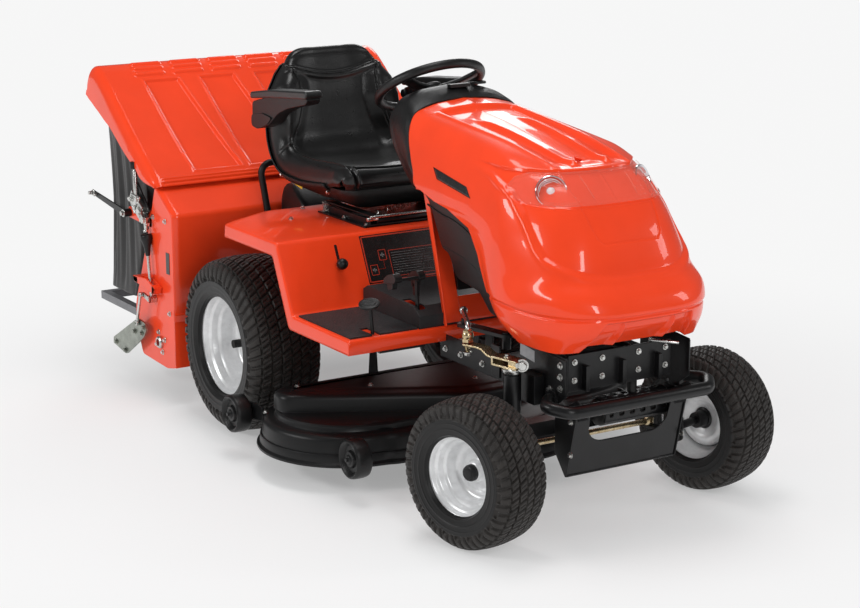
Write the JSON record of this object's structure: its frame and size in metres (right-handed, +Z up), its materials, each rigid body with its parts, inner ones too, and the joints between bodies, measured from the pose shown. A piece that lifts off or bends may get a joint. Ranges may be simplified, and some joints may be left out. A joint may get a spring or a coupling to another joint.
{
  "type": "riding lawn mower",
  "caption": "Ride-on garden tractor with mid-mounted mowing deck, steered front axle, tilting bonnet and a rear powered grass collector with a tipping net.",
  "frame": {"origin": "centre of the whole machine in plan, on the ground plane", "axes": "+X forwards, along the longest extent; +Y to the left of the driver; +Z up"},
  "size_m": [2.422, 1.256, 1.1787],
  "materials": {
    "red_paint": "glossy orange-red enamel",
    "black_plastic": "satin black moulding",
    "clear_lens": "clear ribbed polycarbonate",
    "lamp_reflector": "bright reflector",
    "mat_rubber": "ribbed matt rubber",
    "net_fabric": "woven black net",
    "grey_steel": "grey enamel",
    "brush_black": "nylon bristle",
    "black_steel": "satin black enamel",
    "engine_black": "matt black",
    "cast_grey": "cast housing",
    "zinc_steel": "yellow zinc plate",
    "seat_vinyl": "grained black vinyl",
    "belt_rubber": "matt",
    "tyre_rubber": "matt rubber",
    "rim_silver": "silver enamel",
    "blade_steel": "dark steel"
  },
  "bodies": {
    "chassis": {"chassis_frame": "black_steel", "bumper_guard": "black_steel", "engine": "engine_black", "transaxle": "cast_grey", "rear_body_shell": "red_paint", "foot_mats": "mat_rubber", "tunnel_cover": "black_plastic", "fuel_tank": "black_plastic", "steering_console": "red_paint", "dash_cowl": "black_plastic", "side_panels": "black_plastic", "seat_hoop": "black_steel", "frame_bolts": "zinc_steel", "collector_housing": "red_paint", "collector_frame": "grey_steel"},
    "front_axle": {"front_axle_beam": "black_steel"},
    "knuckle_r": {"knuckle_right": "black_steel"},
    "knuckle_l": {"knuckle_left": "black_steel"},
    "front_wheel_r": {"front_rim_right": "rim_silver", "front_tyre_right": "tyre_rubber"},
    "front_wheel_l": {"front_rim_left": "rim_silver", "front_tyre_left": "tyre_rubber"},
    "track_rod": {"tie_rod": "zinc_steel"},
    "steer_link": {"drag_link": "zinc_steel"},
    "pitman": {"pitman_arm": "black_steel"},
    "steering": {"steering_shaft": "black_steel", "steering_wheel": "black_plastic"},
    "rear_wheel_r": {"rear_rim_right": "rim_silver", "rear_tyre_right": "tyre_rubber"},
    "rear_wheel_l": {"rear_rim_left": "rim_silver", "rear_tyre_left": "tyre_rubber"},
    "bonnet_body": {"bonnet": "red_paint", "headlight_lens": "clear_lens", "headlamps": "lamp_reflector"},
    "drive_pedal_body": {"drive_pedal": "black_plastic"},
    "brake_pedal_body": {"brake_pedal": "black_plastic"},
    "deck": {"deck_shell": "black_steel", "belt_cover": "black_steel", "deck_belt": "belt_rubber"},
    "deck_lever": {"deck_lift_lever": "black_plastic"},
    "blade_c": {"blade_spindle_centre": "blade_steel"},
    "blade_r": {"blade_spindle_right": "blade_steel"},
    "blade_l": {"blade_spindle_left": "blade_steel"},
    "roller_fr": {"deck_roller_front_right": "black_plastic"},
    "roller_fl": {"deck_roller_front_left": "black_plastic"},
    "roller_rr": {"deck_roller_rear_right": "black_plastic"},
    "roller_rl": {"deck_roller_rear_left": "black_plastic"},
    "seat_base_body": {"seat_base": "black_steel"},
    "seat": {"seat_pan": "black_plastic", "seat_cushion": "seat_vinyl", "seat_back": "seat_vinyl"},
    "armrest_r": {"armrest_right": "black_plastic"},
    "armrest_l": {"armrest_left": "black_plastic"},
    "net_body": {"collector_canopy": "red_paint", "collector_net": "net_fabric"},
    "brush": {"sweeper_brush": "brush_black"},
    "height_lever_body": {"height_lever": "zinc_steel"},
    "height_crank_body": {"height_crank": "zinc_steel"},
    "height_rod_body": {"height_rod": "zinc_steel"},
    "tip_lever": {"net_tip_lever": "black_steel"}
  },
  "joints": [
    {"name": "axle_pivot", "type": "hinge", "parent": "chassis", "child": "front_axle", "pos_m": [0.961, 0, 0.282], "axis": [1, 0, 0], "range_deg": [-3, 3]},
    {"name": "steer_right", "type": "hinge", "parent": "front_axle", "child": "knuckle_r", "pos_m": [0.961, -0.273, 0.282], "axis": [0, 0, 1], "range_deg": [-42.9, 17.1]},
    {"name": "steer_left", "type": "hinge", "parent": "front_axle", "child": "knuckle_l", "pos_m": [0.961, 0.273, 0.282], "axis": [0, 0, 1], "range_deg": [-42.9, 17.1]},
    {"name": "wheel_spin_front_right", "type": "hinge", "parent": "knuckle_r", "child": "front_wheel_r", "pos_m": [0.99248, -0.41044, 0.203], "axis": [-0.2233, 0.9748, 0], "continuous": true},
    {"name": "wheel_spin_front_left", "type": "hinge", "parent": "knuckle_l", "child": "front_wheel_l", "pos_m": [0.92952, 0.41044, 0.203], "axis": [-0.2233, 0.9748, 0], "continuous": true},
    {"name": "tie_rod_end", "type": "hinge", "parent": "knuckle_r", "child": "track_rod", "pos_m": [0.8733, -0.2931, 0.203], "axis": [0, 0, 1], "range_deg": [-17.1, 42.9]},
    {"name": "drag_link_end", "type": "hinge", "parent": "knuckle_r", "child": "steer_link", "pos_m": [0.8002, -0.3098, 0.484], "axis": [0, 0, 1], "range_deg": [-17.1, 42.9]},
    {"name": "pitman_turn", "type": "hinge", "parent": "chassis", "child": "pitman", "pos_m": [0.771, -0.165, 0.5], "axis": [0, 0, 1], "range_deg": [-42.9, 17.1]},
    {"name": "steering_turn", "type": "hinge", "parent": "chassis", "child": "steering", "pos_m": [0.109, 0, 1.085], "axis": [-0.5075, 0, 0.8616], "range_deg": [-257.4, 102.6]},
    {"name": "wheel_spin_rear_right", "type": "hinge", "parent": "chassis", "child": "rear_wheel_r", "pos_m": [-0.274, -0.417, 0.272], "axis": [0, 1, 0], "continuous": true},
    {"name": "wheel_spin_rear_left", "type": "hinge", "parent": "chassis", "child": "rear_wheel_l", "pos_m": [-0.274, 0.417, 0.272], "axis": [0, 1, 0], "continuous": true},
    {"name": "bonnet_hinge", "type": "hinge", "parent": "chassis", "child": "bonnet_body", "pos_m": [1.081, 0, 0.505], "axis": [0, 1, 0], "range_deg": [0, 45]},
    {"name": "drive_pedal_rock", "type": "hinge", "parent": "chassis", "child": "drive_pedal_body", "pos_m": [0.471, -0.263, 0.42], "axis": [0, 1, 0], "range_deg": [-9, 9], "stiffness_Nm_per_rad": 12},
    {"name": "brake_pedal_press", "type": "hinge", "parent": "chassis", "child": "brake_pedal_body", "pos_m": [0.491, -0.423, 0.43], "axis": [0, 1, 0], "range_deg": [0, 18], "stiffness_Nm_per_rad": 20, "springref_deg": -11.46},
    {"name": "deck_lift", "type": "slide", "parent": "chassis", "child": "deck", "axis": [0, 0, 1], "range_m": [0, 0.075]},
    {"name": "deck_lever_turn", "type": "hinge", "parent": "chassis", "child": "deck_lever", "pos_m": [0.029, -0.335, 0.553], "axis": [0, 1, 0], "range_deg": [-20, 0]},
    {"name": "blade_spin_centre", "type": "hinge", "parent": "deck", "child": "blade_c", "pos_m": [0.381, 0, 0.18], "axis": [0, 0, 1], "continuous": true},
    {"name": "blade_spin_right", "type": "hinge", "parent": "deck", "child": "blade_r", "pos_m": [0.231, -0.38, 0.18], "axis": [0, 0, 1], "continuous": true},
    {"name": "blade_spin_left", "type": "hinge", "parent": "deck", "child": "blade_l", "pos_m": [0.231, 0.38, 0.18], "axis": [0, 0, 1], "continuous": true},
    {"name": "roller_spin_fr", "type": "hinge", "parent": "deck", "child": "roller_fr", "pos_m": [0.527, -0.505, 0.127], "axis": [0, 1, 0], "continuous": true},
    {"name": "roller_spin_fl", "type": "hinge", "parent": "deck", "child": "roller_fl", "pos_m": [0.527, 0.505, 0.127], "axis": [0, 1, 0], "continuous": true},
    {"name": "roller_spin_rr", "type": "hinge", "parent": "deck", "child": "roller_rr", "pos_m": [-0.019, -0.599, 0.135], "axis": [0, 1, 0], "continuous": true},
    {"name": "roller_spin_rl", "type": "hinge", "parent": "deck", "child": "roller_rl", "pos_m": [-0.019, 0.599, 0.135], "axis": [0, 1, 0], "continuous": true},
    {"name": "seat_base_tilt", "type": "hinge", "parent": "chassis", "child": "seat_base_body", "pos_m": [0.061, 0, 0.667], "axis": [0, 1, 0], "range_deg": [0, 30]},
    {"name": "seat_slide", "type": "slide", "parent": "seat_base_body", "child": "seat", "axis": [1, 0, 0], "range_m": [0, 0.08]},
    {"name": "armrest_fold_right", "type": "hinge", "parent": "seat", "child": "armrest_r", "pos_m": [-0.444, -0.27, 0.975], "axis": [0, 1, 0], "range_deg": [-80, 0]},
    {"name": "armrest_fold_left", "type": "hinge", "parent": "seat", "child": "armrest_l", "pos_m": [-0.444, 0.27, 0.975], "axis": [0, 1, 0], "range_deg": [-80, 0]},
    {"name": "net_tip", "type": "hinge", "parent": "chassis", "child": "net_body", "pos_m": [-1.176, 0, 0.249], "axis": [0, -1, 0], "range_deg": [0, 60]},
    {"name": "brush_spin", "type": "hinge", "parent": "chassis", "child": "brush", "pos_m": [-0.719, 0, 0.19], "axis": [0, 1, 0], "continuous": true},
    {"name": "height_lever_turn", "type": "hinge", "parent": "chassis", "child": "height_lever_body", "pos_m": [-0.729, -0.545, 0.33], "axis": [0, 1, 0], "range_deg": [-13, 13]},
    {"name": "height_crank_turn", "type": "hinge", "parent": "chassis", "child": "height_crank_body", "pos_m": [-0.766, -0.55, 0.228], "axis": [0, 1, 0], "range_deg": [-13, 13]},
    {"name": "height_rod_end", "type": "hinge", "parent": "height_lever_body", "child": "height_rod_body", "pos_m": [-0.768, -0.566, 0.338], "axis": [0, 1, 0], "range_deg": [-13, 13]},
    {"name": "tip_lever_turn", "type": "hinge", "parent": "chassis", "child": "tip_lever", "pos_m": [-0.906, -0.55, 0.585], "axis": [0, -1, 0], "range_deg": [0, 25]}
  ],
  "couplings": [
    {"joint": "steer_left", "follows": "steer_right", "ratio": 1},
    {"joint": "tie_rod_end", "follows": "steer_right", "ratio": -1},
    {"joint": "drag_link_end", "follows": "steer_right", "ratio": -1},
    {"joint": "pitman_turn", "follows": "steer_right", "ratio": 1},
    {"joint": "steering_turn", "follows": "steer_right", "ratio": 6},
    {"joint": "deck_lever_turn", "follows": "deck_lift", "rad_per_m": -4.654},
    {"joint": "blade_spin_right", "follows": "blade_spin_centre", "ratio": 1},
    {"joint": "blade_spin_left", "follows": "blade_spin_centre", "ratio": 1},
    {"joint": "height_crank_turn", "follows": "height_lever_turn", "ratio": 1},
    {"joint": "height_rod_end", "follows": "height_lever_turn", "ratio": -1}
  ]
}
